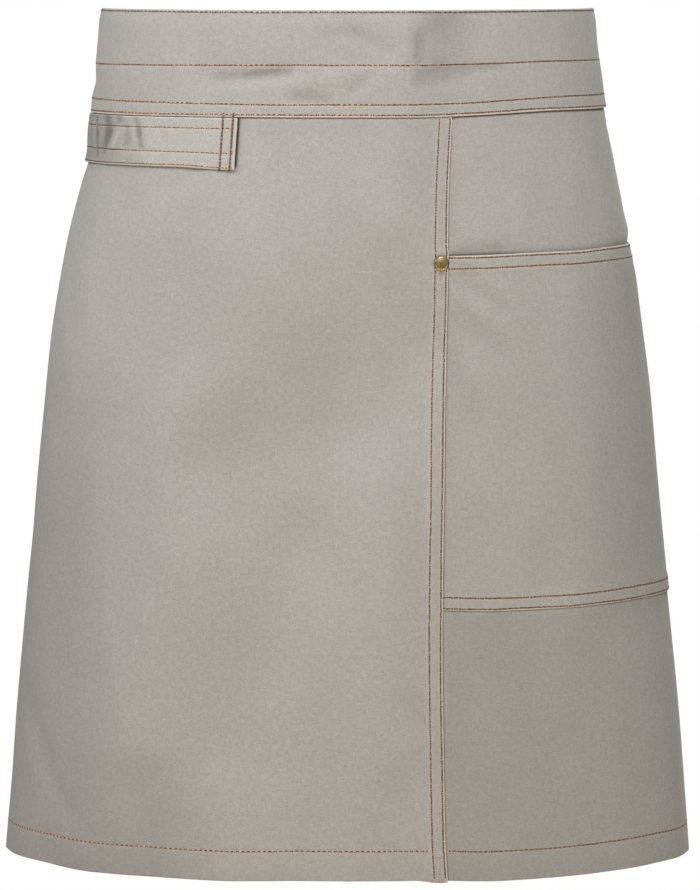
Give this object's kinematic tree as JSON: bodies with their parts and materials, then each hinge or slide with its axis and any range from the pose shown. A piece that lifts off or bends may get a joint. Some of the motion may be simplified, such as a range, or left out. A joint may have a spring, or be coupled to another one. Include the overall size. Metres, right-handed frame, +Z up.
{
  "type": "bistro apron",
  "caption": "Waist apron of grey twill in its worn form, with a folded waistband, a lapped front seam, a side patch pocket, a towel loop and a brass rivet.",
  "frame": {"origin": "centre of the waist loop, at the middle of the waistband's height", "axes": "+Z up, the apron's front faces -Y, +X is on the right as seen from the front"},
  "size_m": [0.4484, 0.2539, 0.5531],
  "materials": {
    "apron_twill": "matt cotton twill with a faint sheen",
    "rivet_brass": "aged satin brass",
    "stitch_thread": "twisted thread with a soft gloss"
  },
  "bodies": {
    "root": {"main_panel": "apron_twill", "side_panel": "apron_twill", "pocket": "apron_twill", "waistband": "apron_twill", "towel_loop": "apron_twill", "back_tie": "apron_twill", "rivet": "rivet_brass"}
  },
  "joints": []
}
